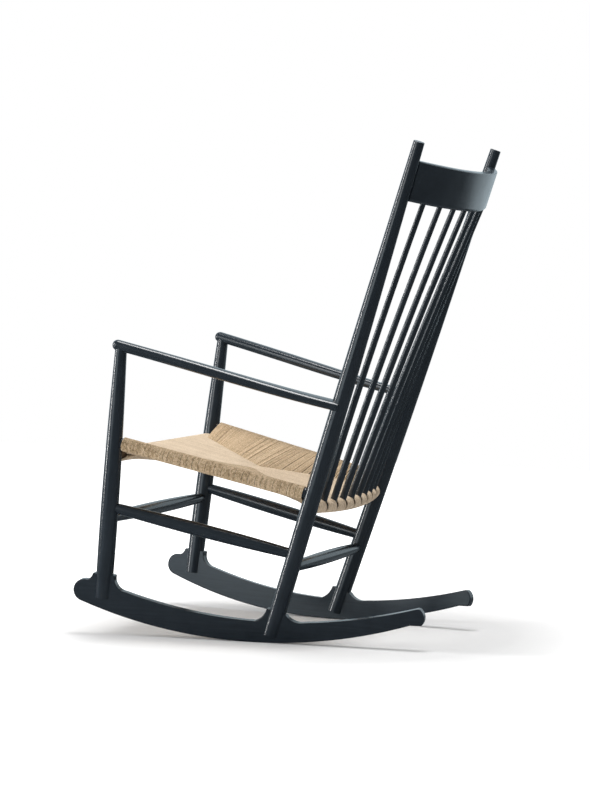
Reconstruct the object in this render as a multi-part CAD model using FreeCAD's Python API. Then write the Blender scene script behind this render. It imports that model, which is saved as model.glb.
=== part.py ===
import FreeCAD, Part
import math
import os

# Rocking chair with turned posts, a spindle back and a seat woven over four rails.
# Millimetres. Front faces -Y, +X is the sitter's left, +Z is up, and the floor is Z = 0.
# The pieces are laid out with Y = 0 under the middle of the rocking arc, and moved at the end
# so that the origin is at the bottom centre of the whole chair.

Vector = FreeCAD.Vector

# Two points closer than this are one corner
same_place = 0.01

# Posts: each axis is given by where it would meet the floor, its rake and its outward splay
rear_post_spread = 419.0
rear_post_floor_y = 4.4
rear_post_rake = 18.65
rear_post_splay = 4.05
rear_post_foot_height = 16.0
rear_post_top_height = 1070.0
rear_post_foot_diameter = 36.0
rear_post_seat_diameter = 37.0
rear_post_arm_diameter = 35.0
rear_post_back_diameter = 30.0
rear_post_top_diameter = 24.0
rear_post_arm_height = 623.0
rear_post_back_height = 839.0
front_post_spread = 512.6
front_post_floor_y = -372.0
front_post_rake = 6.30
front_post_splay = 3.88
front_post_foot_height = 88.0
front_post_foot_diameter = 36.0
front_post_neck_diameter = 31.6
front_post_top_diameter = 25.0
front_post_straight_height = 411.0
front_post_neck_height = 520.0
post_edge_round = 1.5

# Fits between wooden pieces
socket_clearance = 0.10
shoulder_clearance = 0.10
tenon_end_clearance = 0.5

# Rockers: flat boards whose lower edge is an arc, with raised ears at each post.
# Reaches are along the arc from its lowest point; depths are from the arc to the upper edge.
rocker_thickness = 20.0
rocker_radius = 1096.0
rocker_lean = 4.20
rocker_depth_front = 54.0
rocker_depth_middle = 50.5
rocker_depth_rear = 46.5
rocker_nose_reach = 426.0
rocker_nose_depth = 49.0
rocker_tail_reach = 321.0
rocker_tail_start_depth = 42.0
rocker_tail_middle_depth = 38.0
rocker_tail_flat = 25.0
rocker_tail_height = 37.0
rocker_tail_lean = 5.0
rocker_tail_bulge = 8.5
rocker_tail_round = 8.0
rocker_corner_round = 2.5
rocker_edge_round = 1.8
front_ear_height = 141.0
front_ear_ahead = 25.0
front_ear_behind = 25.5
front_ear_foot_ahead = 9.0
front_ear_foot_behind = 35.0
front_ear_hollow_ahead = 3.0
front_ear_hollow_behind = 9.5
rear_ear_height = 68.0
rear_ear_ahead = 25.0
rear_ear_behind = 19.5
rear_ear_foot_ahead = 30.0
rear_ear_foot_behind = 38.0
rear_ear_hollow_ahead = 5.0
rear_ear_hollow_behind = 6.0
slot_clearance = 0.10

# Stretchers: heights of their ends on the post axes
side_stretcher_front_height = 289.0
side_stretcher_rear_height = 193.0
front_stretcher_height = 264.0
rear_stretcher_height = 165.5
stretcher_end_diameter = 21.0
stretcher_middle_diameter = 29.5
stretcher_tenon_diameter = 14.0
stretcher_tenon_length = 19.0

# Seat rails: heights of their ends on the post axes, and bare sections
side_rail_front_height = 431.0
side_rail_rear_height = 322.0
side_rail_section_height = 24.0
side_rail_section_width = 21.0
side_rail_bare_length = 2.0
front_rail_height = 400.8
front_rail_section_height = 24.0
front_rail_section_width = 22.0
rear_rail_height = 298.3
rear_rail_ahead = 7.5
rear_rail_sagitta = 26.0
rear_rail_diameter = 23.5
rear_rail_shoulder_depth = 2.0
rail_tenon_diameter = 15.0
rail_tenon_length = 17.0

# Arms: sections across the arm, from its rounded front end to the rear post
arm_front_height = 638.7
arm_rear_height = 515.0
arm_front_overhang = 19.5
arm_front_width = 27.0
arm_front_thickness = 23.5
arm_middle_width = 36.0
arm_middle_thickness = 23.0
arm_rear_width = 45.0
arm_rear_thickness = 19.5
arm_rear_tilt = 7.5
arm_rear_corner = 8.0
arm_rear_overlap = 2.0
arm_sag = 3.0
arm_front_fullness = 0.04
arm_middle_fullness = 0.2
arm_rear_fullness = 0.36
arm_outline_points = 16
arm_nose_angles = (14, 32, 52, 72, 90)
arm_section_shares = (0.25, 0.5, 0.75, 1.01)
arm_tenon_diameter = 14.0
arm_tenon_length = 17.0
post_tenon_diameter = 14.0
post_tenon_length = 15.0

# Crest rail: a board bent round an axis that follows the rake of the back, hung from the top
# of the rear posts
crest_below_post_top = 120.0
crest_face_height = 87.5
crest_thickness = 18.0
crest_behind_axis = 14.5
crest_sagitta = 60.0
crest_lower_round = 7.0
crest_upper_round = 2.0
crest_tenon_thickness = 8.0
crest_tenon_length = 8.0
crest_tenon_shoulder = 10.0
crest_end_inset = 4.5

# Spindles
spindle_count = 8
spindle_seat_spacing = 47.4
spindle_crest_spacing = 62.0
spindle_top_diameter = 11.5
spindle_middle_diameter = 14.0
spindle_seat_diameter = 15.5
spindle_bow = 5.0
spindle_crest_reach = 6.0
spindle_sections = 7
spindle_tenon_diameter = 9.0
spindle_tenon_length = 15.0

# Woven seat: paper cord over the rails, in four fields that meet at mitres
cord_thickness = 3.2
seat_gap = 0.3
seat_mitre_thickness = 16.0
seat_seam_half_length = 26.0
seat_mitre_angle = 40.0
seat_front_inset = 32.0
seat_rear_inset = 10.5
seat_under_front_half = 150.0
seat_under_rear_half = 120.0
wrap_gap = 9.0

# Weights for the balance, in kilograms per cubic metre
wood_density = 600.0
cord_density = 300.0


class Axis:
    """The axis of a post, from where it would meet the floor."""

    def __init__(self, floor_x, floor_y, rake, splay):
        self.floor = Vector(floor_x, floor_y, 0)
        lean = Vector(math.tan(math.radians(splay)), math.tan(math.radians(rake)), 1)
        self.direction = lean.normalize()

    def at(self, height):
        return self.floor + self.direction * (height / self.direction.z)


def mirrored(shape):
    return shape.mirror(Vector(0, 0, 0), Vector(1, 0, 0))


def largest(shape):
    return max(shape.Solids, key=lambda solid: solid.Volume)


def between(start, end, share):
    return start + (end - start) * share


def extended(start, end, length):
    """The point that lies length beyond end, coming from start."""
    return end + (end - start).normalize() * length


def rod(start, end, diameter):
    return Part.makeCylinder(diameter / 2, start.distanceToPoint(end), start, end - start)


def turned(start, end, stations, growth=0.0, edge_round=0.0):
    """A turned piece between two points. stations are pairs of height share and diameter."""
    length = start.distanceToPoint(end)
    profile = [Vector(diameter / 2 + growth, 0, share * length) for share, diameter in stations]
    curve = Part.BSplineCurve()
    curve.interpolate(profile)
    top, bottom = profile[-1], profile[0]
    edges = [curve.toShape()]
    edges.append(Part.LineSegment(top, Vector(0, 0, top.z)).toShape())
    edges.append(Part.LineSegment(Vector(0, 0, top.z), Vector(0, 0, bottom.z)).toShape())
    edges.append(Part.LineSegment(Vector(0, 0, bottom.z), bottom).toShape())
    solid = Part.Face(Part.Wire(edges)).revolve(Vector(0, 0, 0), Vector(0, 0, 1), 360)
    if edge_round:
        circles = [edge for edge in solid.Edges if len(edge.Vertexes) == 1]
        upper = [edge for edge in circles if edge.CenterOfMass.z > length / 2]
        solid = solid.makeFillet(edge_round, upper)
    solid.Placement = FreeCAD.Placement(start, FreeCAD.Rotation(Vector(0, 0, 1), end - start))
    return solid


def oval_bar(start, end, height, width):
    """A straight bar of oval section, upright, between two points."""
    along = (end - start).normalize()
    across = Vector(0, 0, 1).cross(along).normalize()
    up = along.cross(across)
    if height >= width:
        curve = Part.Ellipse(up * (height / 2), across * (width / 2), Vector(0, 0, 0))
    else:
        curve = Part.Ellipse(across * (width / 2), up * (height / 2), Vector(0, 0, 0))
    face = Part.Face(Part.Wire(curve.toShape()))
    face.translate(start)
    return face.extrude(end - start)


# Post axes and the points on them where other pieces meet
rear_axis = Axis(rear_post_spread / 2, rear_post_floor_y, rear_post_rake, rear_post_splay)
front_axis = Axis(front_post_spread / 2, front_post_floor_y, front_post_rake, front_post_splay)


def rear_post_body(growth=0.0, edge_round=0.0):
    foot = rear_post_foot_height
    rise = rear_post_top_height - foot
    stations = [(0.0, rear_post_foot_diameter),
                ((side_rail_rear_height - foot) / rise, rear_post_seat_diameter),
                ((rear_post_arm_height - foot) / rise, rear_post_arm_diameter),
                ((rear_post_back_height - foot) / rise, rear_post_back_diameter),
                (1.0, rear_post_top_diameter)]
    return turned(rear_axis.at(foot), rear_axis.at(rear_post_top_height), stations, growth, edge_round)


def front_post_body(growth=0.0):
    foot = front_post_foot_height
    rise = arm_front_height - foot
    stations = [(0.0, front_post_foot_diameter),
                ((front_post_straight_height - foot) / rise, front_post_foot_diameter),
                ((front_post_neck_height - foot) / rise, front_post_neck_diameter),
                (1.0, front_post_top_diameter)]
    return turned(front_axis.at(foot), front_axis.at(arm_front_height), stations, growth)


class Board:
    """The mid-plane of a rocker, holding a point of each post axis, with its own coordinates."""

    def __init__(self):
        front = front_axis.at(front_ear_height)
        rear = rear_axis.at(rear_ear_height)
        lean = math.tan(math.radians(rocker_lean))
        toe = ((front.x - rear.x) - lean * (front.z - rear.z)) / (front.y - rear.y)
        self.normal = Vector(1, -toe, -lean).normalize()
        self.along = Vector(toe, 1, 0).normalize()
        self.up = self.normal.cross(self.along)
        lift = rocker_thickness / 2 * abs(self.normal.z)
        self.origin = Vector(rear.x - toe * rear.y - lean * (rear.z - lift), 0, lift)

    def local(self, point):
        offset = point - self.origin
        return Vector(offset.dot(self.along), offset.dot(self.up), 0)

    def turned_to(self, direction):
        return Vector(direction.dot(self.along), direction.dot(self.up), 0).normalize()

    def place(self, shape):
        rotation = FreeCAD.Rotation(self.along, self.up, self.normal, "ZXY")
        shape.Placement = FreeCAD.Placement(self.origin, rotation)
        return shape


board = Board()


def on_board(reach, depth):
    """A point of the rocker by its reach along the lower arc and its depth above it."""
    angle = reach / rocker_radius
    radius = rocker_radius - depth
    return Vector(radius * math.sin(angle), rocker_radius - radius * math.cos(angle), 0)


def line(start, end):
    return Part.LineSegment(start, end).toShape()


def bulged(start, end, bulge):
    """An arc from start to end that bulges to the right of the way there by bulge."""
    way = (end - start).normalize()
    middle = between(start, end, 0.5) + Vector(way.y, -way.x, 0) * bulge
    return Part.Arc(start, middle, end).toShape()


def ear_line(axis, height, ahead, behind):
    """The two ends of the top of an ear, square to the post, and its middle."""
    middle = board.local(axis.at(height))
    post = board.turned_to(axis.direction)
    square = Vector(post.y, -post.x, 0)
    return middle - square * ahead, middle + square * behind, middle


def rocker_outline():
    """The edge of a rocker, from the nose along the floor to the tail and back over the ears."""
    front_left, front_right, front_middle = ear_line(front_axis, front_ear_height,
                                                     front_ear_ahead, front_ear_behind)
    rear_left, rear_right, rear_middle = ear_line(rear_axis, rear_ear_height,
                                                  rear_ear_ahead, rear_ear_behind)
    front_reach = math.atan2(front_middle.x, rocker_radius - front_middle.y) * rocker_radius
    rear_reach = math.atan2(rear_middle.x, rocker_radius - rear_middle.y) * rocker_radius
    nose_low = on_board(-rocker_nose_reach, 0)
    nose_high = on_board(-rocker_nose_reach, rocker_nose_depth)
    nose_up = (nose_high - nose_low).normalize()
    nose_out = Vector(-nose_up.y, nose_up.x, 0)
    nose_tip = between(nose_low, nose_high, 0.5) + nose_out * rocker_nose_depth / 2
    front_foot_ahead = on_board(front_reach - front_ear_ahead - front_ear_foot_ahead,
                                rocker_nose_depth)
    front_foot_behind = on_board(front_reach + front_ear_behind + front_ear_foot_behind,
                                 rocker_depth_front)
    rear_foot_ahead = on_board(rear_reach - rear_ear_ahead - rear_ear_foot_ahead,
                               rocker_depth_rear)
    rear_foot_behind = on_board(rear_reach + rear_ear_behind + rear_ear_foot_behind,
                                rocker_tail_start_depth)
    tail_low = on_board(rocker_tail_reach, 0)
    tail_corner = tail_low + Vector(rocker_tail_flat, 0, 0)
    tail_top = tail_corner + Vector(-rocker_tail_lean, rocker_tail_height, 0)
    tail_middle = on_board((rocker_tail_reach + rear_reach + rear_ear_foot_behind) / 2,
                           rocker_tail_middle_depth)
    span_middle = on_board((front_reach + rear_reach) / 2, rocker_depth_middle)
    return [Part.Arc(nose_low, on_board(0, 0), tail_low).toShape(),
            line(tail_low, tail_corner),
            bulged(tail_corner, tail_top, rocker_tail_bulge),
            Part.Arc(tail_top, tail_middle, rear_foot_behind).toShape(),
            bulged(rear_foot_behind, rear_right, -rear_ear_hollow_behind),
            line(rear_right, rear_left),
            bulged(rear_left, rear_foot_ahead, -rear_ear_hollow_ahead),
            Part.Arc(rear_foot_ahead, span_middle, front_foot_behind).toShape(),
            bulged(front_foot_behind, front_right, -front_ear_hollow_behind),
            line(front_right, front_left),
            bulged(front_left, front_foot_ahead, -front_ear_hollow_ahead),
            Part.Arc(front_foot_ahead, nose_tip, nose_low).toShape()]


def edges_at(solid, corners):
    """The upright edges of a flat board that stand on the given corners of its outline."""
    found = []
    for edge in solid.Edges:
        feet = [Vector(vertex.Point.x, vertex.Point.y, 0) for vertex in edge.Vertexes]
        for corner in corners:
            if len(feet) == 2 and max(foot.distanceToPoint(corner) for foot in feet) < same_place:
                found.append(edge)
    return found


def make_rocker():
    """A rocker with its corners rounded in plan, and then its long edges rounded over."""
    outline = rocker_outline()
    corners = [edge.Vertexes[0].Point for edge in outline]
    nose, floor_end, tail_foot, tail_top = corners[:4]
    face = Part.Face(Part.Wire(outline))
    face.translate(Vector(0, 0, -rocker_thickness / 2))
    solid = face.extrude(Vector(0, 0, rocker_thickness))
    solid = solid.makeFillet(rocker_tail_round, edges_at(solid, [tail_top]))
    solid = solid.makeFillet(rocker_corner_round, edges_at(solid, [floor_end, tail_foot] + corners[4:]))
    half = rocker_thickness / 2 - same_place
    rims = [edge for edge in solid.Edges if abs(edge.CenterOfMass.z) > half]
    solid = solid.makeFillet(rocker_edge_round, rims)
    return board.place(solid)


def post_slot(axis, height, foot_diameter):
    """The slot that lets a post down over its rocker, open at the foot."""
    left, right, middle = ear_line(axis, height, foot_diameter, foot_diameter)
    post = board.turned_to(axis.direction)
    lift = post * slot_clearance
    drop = post * -height * 2
    corners = [left + lift, right + lift, right + drop, left + drop, left + lift]
    half = rocker_thickness / 2 + slot_clearance
    face = Part.Face(Part.makePolygon(corners))
    face.translate(Vector(0, 0, -half))
    return board.place(face.extrude(Vector(0, 0, 2 * half)))


def coped(shape, neighbours):
    """The main solid of a piece, cut to sit against its neighbours' grown shapes."""
    for neighbour in neighbours:
        shape = shape.cut(neighbour)
    return largest(shape)


def sunk_tenon(start, end, diameter, length, root):
    """A round tenon that runs on from start through end: its solid, and the socket that takes it."""
    way = (end - start).normalize()
    foot = end - way * root
    tenon = rod(foot, end + way * length, diameter)
    socket = rod(foot, end + way * (length + tenon_end_clearance), diameter + 2 * socket_clearance)
    return tenon, socket


def make_stretcher(start, end, posts, post_radius):
    """A swelled turning between two post axes, with a tenon at each end, and its two sockets."""
    stations = [(0.0, stretcher_end_diameter),
                (0.5, stretcher_middle_diameter),
                (1.0, stretcher_end_diameter)]
    body = coped(turned(start, end, stations), posts)
    sockets = []
    for near, far in ((start, end), (end, start)):
        shoulder = extended(far, near, -post_radius)
        tenon, socket = sunk_tenon(far, shoulder, stretcher_tenon_diameter,
                                   stretcher_tenon_length, post_radius / 2)
        body = body.fuse(tenon)
        sockets.append(socket)
    return largest(body.removeSplitter()), sockets


# Arm: sections of a rounded outline, set out along a gently waved line


def arm_outline(width, thickness, fullness):
    """Points of a rounded section: an ellipse, filled out towards its corners by fullness."""
    points = []
    for step in range(arm_outline_points):
        angle = 2 * math.pi * step / arm_outline_points
        across = math.copysign(abs(math.cos(angle)) ** (1 - fullness), math.cos(angle))
        upward = math.copysign(abs(math.sin(angle)) ** (1 - fullness), math.sin(angle))
        points.append((across * width / 2, upward * thickness / 2))
    return points


def arm_size(share):
    """Width, thickness and fullness at a share of the way from the front post to the rear one."""
    front = (arm_front_width, arm_front_thickness, arm_front_fullness)
    middle = (arm_middle_width, arm_middle_thickness, arm_middle_fullness)
    rear = (arm_rear_width, arm_rear_thickness, arm_rear_fullness)
    if share < 0.5:
        return [a + (b - a) * share * 2 for a, b in zip(front, middle)]
    return [a + (b - a) * (share * 2 - 1) for a, b in zip(middle, rear)]


class ArmLine:
    """The line of the left arm, from the axis of the front post to that of the rear one."""

    def __init__(self):
        self.start = front_axis.at(arm_front_height)
        self.end = rear_axis.at(arm_rear_height)
        self.length = self.start.distanceToPoint(self.end)
        self.along = (self.end - self.start).normalize()
        self.level = self.along.cross(Vector(0, 0, 1)).normalize()
        self.up = self.level.cross(self.along)

    def section(self, distance, scale, growth):
        """The arm cut square at a distance behind the front post's axis."""
        share = min(1.0, max(0.0, distance / self.length))
        tilt = math.radians(arm_rear_tilt) * share
        across = self.level * math.cos(tilt) - self.up * math.sin(tilt)
        over = self.up * math.cos(tilt) + self.level * math.sin(tilt)
        sag = arm_sag * math.sin(math.pi * share ** 2)
        middle = self.start + self.along * distance - self.up * sag
        width, thickness, fullness = arm_size(share)
        outline = arm_outline((width + 2 * growth) * scale, (thickness + 2 * growth) * scale, fullness)
        curve = Part.BSplineCurve()
        curve.interpolate([middle + across * a + over * b for a, b in outline], PeriodicFlag=True)
        return Part.Wire(curve.toShape())

    def plan(self):
        """The space that the arm fills seen from above, with rounded corners at its rear end."""
        half = arm_rear_width
        corner = arm_rear_width / 2 - arm_rear_corner
        slant = arm_rear_corner * (1 - math.sqrt(0.5))
        rear = self.end + self.along * arm_rear_overlap

        def at(across, back):
            return rear + self.level * across - self.along * back - self.up * half

        front = self.length * 2
        edges = [line(at(-half, front), at(half, front)),
                 line(at(half, front), at(half, arm_rear_corner)),
                 line(at(half, arm_rear_corner), at(arm_rear_width / 2, arm_rear_corner)),
                 Part.Arc(at(arm_rear_width / 2, arm_rear_corner), at(arm_rear_width / 2 - slant, slant),
                          at(corner, 0)).toShape(),
                 line(at(corner, 0), at(-corner, 0)),
                 Part.Arc(at(-corner, 0), at(slant - arm_rear_width / 2, slant),
                          at(-arm_rear_width / 2, arm_rear_corner)).toShape(),
                 line(at(-arm_rear_width / 2, arm_rear_corner), at(-half, arm_rear_corner)),
                 line(at(-half, arm_rear_corner), at(-half, front))]
        return Part.Face(Part.Wire(edges)).extrude(self.up * 2 * half)


def arm_body(growth=0.0):
    """The arm before it is cut to the posts, with a rounded nose."""
    arm = ArmLine()
    nose = arm_front_thickness / 2
    nose_sections = []
    for angle in arm_nose_angles:
        turn = math.radians(angle)
        distance = -arm_front_overhang + nose * (1 - math.cos(turn))
        nose_sections.append(arm.section(distance, math.sin(turn), growth))
    sections = [nose_sections[-1]]
    for share in arm_section_shares:
        sections.append(arm.section(arm.length * share, 1.0, growth))
    main = Part.makeLoft(sections, True, False).common(arm.plan())
    return Part.makeLoft(nose_sections, True, False).fuse(main)


# Crest rail: in the plane across the back, X and the way the back faces
rake = math.radians(rear_post_rake)
crest_low_height = rear_post_top_height - crest_below_post_top
back_up = Vector(0, math.sin(rake), math.cos(rake))
back_out = Vector(0, math.cos(rake), -math.sin(rake))
crest_foot = rear_axis.at(crest_low_height)
crest_foot.x = 0
crest_half = rear_axis.at(crest_low_height).x
crest_bend = (crest_half ** 2 + crest_sagitta ** 2) / (2 * crest_sagitta)


def crest_point(x, behind, up):
    """A point of the crest rail, by its side offset and its depth behind the outer bend."""
    radius = crest_bend + behind
    depth = crest_behind_axis + crest_sagitta - crest_bend + math.sqrt(radius ** 2 - x ** 2)
    return crest_foot + Vector(x, 0, 0) + back_out * depth + back_up * up


def crest_arc(half, behind, up):
    left, middle, right = [crest_point(x, behind, up) for x in (-half, 0, half)]
    return Part.Arc(left, middle, right).toShape()


def crest_slab(thickness, low, high, overhang):
    """A bent board with slanted ends that lie overhang beyond the axes of the rear posts."""
    outer = -(crest_thickness - thickness) / 2
    inner = outer - thickness
    half = rear_axis.at(rear_post_top_height).x + overhang + crest_thickness
    edges = [crest_arc(half, outer, low),
             line(crest_point(half, outer, low), crest_point(half, inner, low)),
             crest_arc(half, inner, low),
             line(crest_point(-half, inner, low), crest_point(-half, outer, low))]
    slab = Part.Face(Part.Wire(Part.__sortEdges__(edges))).extrude(back_up * (high - low))
    lean = rear_axis.direction.x / rear_axis.direction.dot(back_up)
    corners = []
    for side, up in ((-1, low), (1, low), (1, high), (-1, high), (-1, low)):
        corner = crest_foot + back_up * up
        corner.x = side * (crest_half + overhang + lean * up)
        corners.append(corner - back_out * crest_bend)
    window = Part.Face(Part.makePolygon(corners)).extrude(back_out * 2 * crest_bend)
    return slab.common(window)


def crest_edges(body, up):
    """The long edges of the crest rail at a height on its face, from the front one to the back."""
    edges = []
    for edge in body.Edges:
        height = (edge.CenterOfMass - crest_foot).dot(back_up)
        if edge.Length > crest_half and abs(height - up) < same_place:
            edges.append(edge)
    return sorted(edges, key=lambda edge: (edge.Vertexes[0].Point - crest_foot).dot(back_out))


def make_crest(posts):
    """The crest rail with a tongue at each end, its body alone, and the mortises for the tongues."""
    board_body = largest(crest_slab(crest_thickness, 0, crest_face_height, -crest_end_inset))
    board_body = board_body.makeFillet(crest_lower_round, [crest_edges(board_body, 0)[-1]])
    board_body = board_body.makeFillet(crest_upper_round, crest_edges(board_body, crest_face_height))
    low = crest_tenon_shoulder
    high = crest_face_height - crest_tenon_shoulder
    tongue = crest_slab(crest_tenon_thickness, low, high, crest_tenon_length)
    mortises = crest_slab(crest_tenon_thickness + 2 * socket_clearance, low - socket_clearance,
                          high + socket_clearance, crest_tenon_length + tenon_end_clearance)
    board_body = coped(board_body, posts)
    return largest(board_body.fuse(tongue).removeSplitter()), board_body, mortises


# Rear seat rail: bowed backwards in the plane square to the back
rear_rail_end = rear_axis.at(rear_rail_height) - Vector(0, rear_rail_ahead, 0)
rear_rail_half = rear_rail_end.x
rear_rail_bend = (rear_rail_half ** 2 + rear_rail_sagitta ** 2) / (2 * rear_rail_sagitta)


def rear_rail_point(x, behind=0.0):
    """A point on the axis of the rear rail, or behind it square to its bend."""
    radius = rear_rail_bend + behind
    depth = rear_rail_sagitta - rear_rail_bend + math.sqrt(radius ** 2 - x ** 2)
    return Vector(x, rear_rail_end.y, rear_rail_end.z) + back_out * depth


def rear_rail_tube(diameter, reach):
    """The rear rail's round section carried along its bend, out to reach on each side."""
    centre = rear_rail_point(0) - back_out * rear_rail_bend
    start = rear_rail_point(-reach)
    way = (start - centre).cross(back_up).normalize()
    disc = Part.Face(Part.Wire(Part.Circle(start, way, diameter / 2).toShape()))
    turn = 2 * math.degrees(math.asin(reach / rear_rail_bend))
    return disc.revolve(centre, back_up * -1, turn)


def rear_rail_way():
    """The direction in which the rear rail runs into the left post."""
    centre = rear_rail_point(0) - back_out * rear_rail_bend
    return (rear_rail_point(rear_rail_half) - centre).cross(back_up).normalize()


# Spindles


def spindle_ends(index):
    offset = index - (spindle_count - 1) / 2
    low = rear_rail_point(offset * spindle_seat_spacing)
    high = crest_point(offset * spindle_crest_spacing, -crest_thickness / 2, 0)
    return low, high


def spindle_body(index, growth=0.0):
    """A bowed round bar from the axis of the rear rail to just inside the crest rail."""
    low, high = spindle_ends(index)
    way = high - low
    bow_way = way.cross(Vector(-1, 0, 0)).normalize()
    reach = 1 + spindle_crest_reach / way.Length
    sections = []
    for step in range(spindle_sections):
        share = reach * step / (spindle_sections - 1)
        centre = low + way * share + bow_way * (spindle_bow * 4 * share * (1 - share))
        tangent = way + bow_way * (spindle_bow * 4 * (1 - 2 * share))
        if share < 0.5:
            diameter = between(spindle_seat_diameter, spindle_middle_diameter, share * 2)
        else:
            diameter = between(spindle_middle_diameter, spindle_top_diameter, share * 2 - 1)
        sections.append(Part.Wire(Part.Circle(centre, tangent, diameter / 2 + growth).toShape()))
    return Part.makeLoft(sections, True, False)


def make_spindle(index, seats):
    """A spindle with a tenon at each end, and its sockets in the rail and in the crest."""
    low, high = spindle_ends(index)
    body = coped(spindle_body(index), seats)
    rail_face = extended(high, low, -rear_rail_diameter / 2)
    low_tenon, low_socket = sunk_tenon(high, rail_face, spindle_tenon_diameter,
                                       spindle_tenon_length, spindle_tenon_length)
    high_tenon, high_socket = sunk_tenon(low, high, spindle_tenon_diameter,
                                         spindle_tenon_length, spindle_tenon_length)
    return largest(body.fuse(low_tenon).fuse(high_tenon).removeSplitter()), low_socket, high_socket


# Woven seat


def field_height(y):
    """Height of the upper layer of cord between the front and rear rails."""
    front = front_axis.at(front_rail_height)
    rear = rear_rail_point(0)
    front_top = front.z + front_rail_section_height / 2 + cord_thickness
    rear_top = rear.z + rear_rail_diameter / 2 + cord_thickness
    return front_top + (rear_top - front_top) * (y - front.y) / (rear.y - front.y)


def side_rail_point(y):
    start = front_axis.at(side_rail_front_height)
    end = rear_axis.at(side_rail_rear_height)
    return between(start, end, (y - start.y) / (end.y - start.y))


def seat_section(y, mitre, depth, level):
    """The seat cut across at y, between the crowns over the side rails.

    The cord is thin along the mitres, and reaches down to depth under its level middle.
    """
    rail = side_rail_point(y)
    crown = side_rail_section_height / 2 + cord_thickness
    high = field_height(y)
    right = [(level, high - depth), (mitre, high - seat_mitre_thickness),
             (rail.x, rail.z - crown), (rail.x, rail.z + crown), (mitre, high)]
    left = [(-x, z) for x, z in reversed(right)]
    points = [Vector(x, y, z) for x, z in right + left]
    return Part.makePolygon(points + points[:1])


def seat_plan():
    """The space of the seat seen from above, with the bow of its rear rail."""
    front = front_axis.at(front_rail_height)
    rear = rear_rail_point(rear_rail_half)
    wide = 2 * rear.x
    low = front.z / 2
    corners = [(-wide, front.y), (wide, front.y), (wide, rear.y), (rear.x, rear.y)]
    right = [Vector(x, y, low) for x, y in corners]
    left = [Vector(-rear.x, rear.y, low), Vector(-wide, rear.y, low), right[0]]
    bow = Part.Arc(right[-1], Vector(0, rear_rail_point(0).y, low), left[0]).toShape()
    edges = [line(start, end) for start, end in zip(right, right[1:])]
    edges += [bow] + [line(start, end) for start, end in zip(left, left[1:])]
    return Part.Face(Part.Wire(edges)).extrude(Vector(0, 0, front.z))


def seat_web():
    """The four fields of cord between the rails, as far back as the bend of the rear rail."""
    front = front_axis.at(front_rail_height)
    rear = rear_rail_point(rear_rail_half)
    front_depth = front_rail_section_height + 2 * cord_thickness
    rear_depth = rear_rail_diameter + 2 * cord_thickness
    corner = side_rail_point(front.y).x
    rear_corner = side_rail_point(rear.y).x
    seam_y = front.y + (corner - seat_seam_half_length) * math.tan(math.radians(seat_mitre_angle))
    seam = seat_seam_half_length
    front_half = corner - seat_front_inset
    rear_half = rear_corner - seat_rear_inset
    sections = [seat_section(front.y, front_half, front_depth, seat_under_front_half),
                seat_section(seam_y, seam, seat_mitre_thickness, seam / 2)]
    for y in (rear.y, rear_rail_point(0).y):
        sections.append(seat_section(y, rear_half, rear_depth, seat_under_rear_half))
    return largest(Part.makeLoft(sections, True, True).common(seat_plan()))


def wrap_slot(index):
    """The gap between two wraps of the rear rail, on the line of a spindle."""
    x = (index - (spindle_count - 1) / 2) * spindle_seat_spacing
    centre = rear_rail_point(x)
    out = (centre - (rear_rail_point(0) - back_out * rear_rail_bend)).normalize()
    across = out.cross(back_up)
    reach = rear_rail_diameter + cord_thickness
    box = Part.makeBox(wrap_gap, reach, 2 * reach, Vector(-wrap_gap / 2, 0, -reach))
    box.Placement = FreeCAD.Placement(centre, FreeCAD.Rotation(across, out, back_up, "ZXY"))
    return box


def covered(start, end, height, width, cover):
    """An oval bar with its rail's section, grown by cover all round."""
    return oval_bar(start, end, height + 2 * cover, width + 2 * cover)


class SeatRails:
    """The straight rails under the seat, on the left side and across the front."""

    def __init__(self):
        self.side_start = front_axis.at(side_rail_front_height)
        self.side_end = rear_axis.at(side_rail_rear_height)
        self.front_left = front_axis.at(front_rail_height)
        self.front_right = Vector(-self.front_left.x, self.front_left.y, self.front_left.z)
        bare = rear_post_seat_diameter / 2 + side_rail_bare_length
        self.wrap_end = extended(self.side_start, self.side_end, -bare)

    def side(self, cover=0.0, start=None, end=None):
        return covered(start or self.side_start, end or self.side_end,
                       side_rail_section_height, side_rail_section_width, cover)

    def front(self, cover=0.0):
        return covered(self.front_right, self.front_left,
                       front_rail_section_height, front_rail_section_width, cover)


rails = SeatRails()


def make_seat():
    """The cord in one piece: the fields, and the sleeves of cord round the four rails."""
    sleeve = rails.side(cord_thickness, end=rails.wrap_end)
    rear_sleeve = rear_rail_tube(rear_rail_diameter + 2 * cord_thickness, rear_rail_half)
    seat = seat_web().multiFuse([sleeve, mirrored(sleeve), rails.front(cord_thickness), rear_sleeve])
    bare_end = rails.side(2 * cord_thickness, start=rails.wrap_end)
    left = [rails.side(seat_gap), bare_end, rear_post_body(seat_gap), front_post_body(seat_gap)]
    cuts = left + [mirrored(shape) for shape in left]
    cuts.append(rails.front(seat_gap))
    cuts.append(rear_rail_tube(rear_rail_diameter + 2 * seat_gap, rear_rail_half))
    for index in range(spindle_count):
        cuts.append(spindle_body(index, seat_gap))
        cuts.append(wrap_slot(index))
    for shape in cuts:
        seat = seat.cut(shape)
    return largest(seat.removeSplitter())


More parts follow.
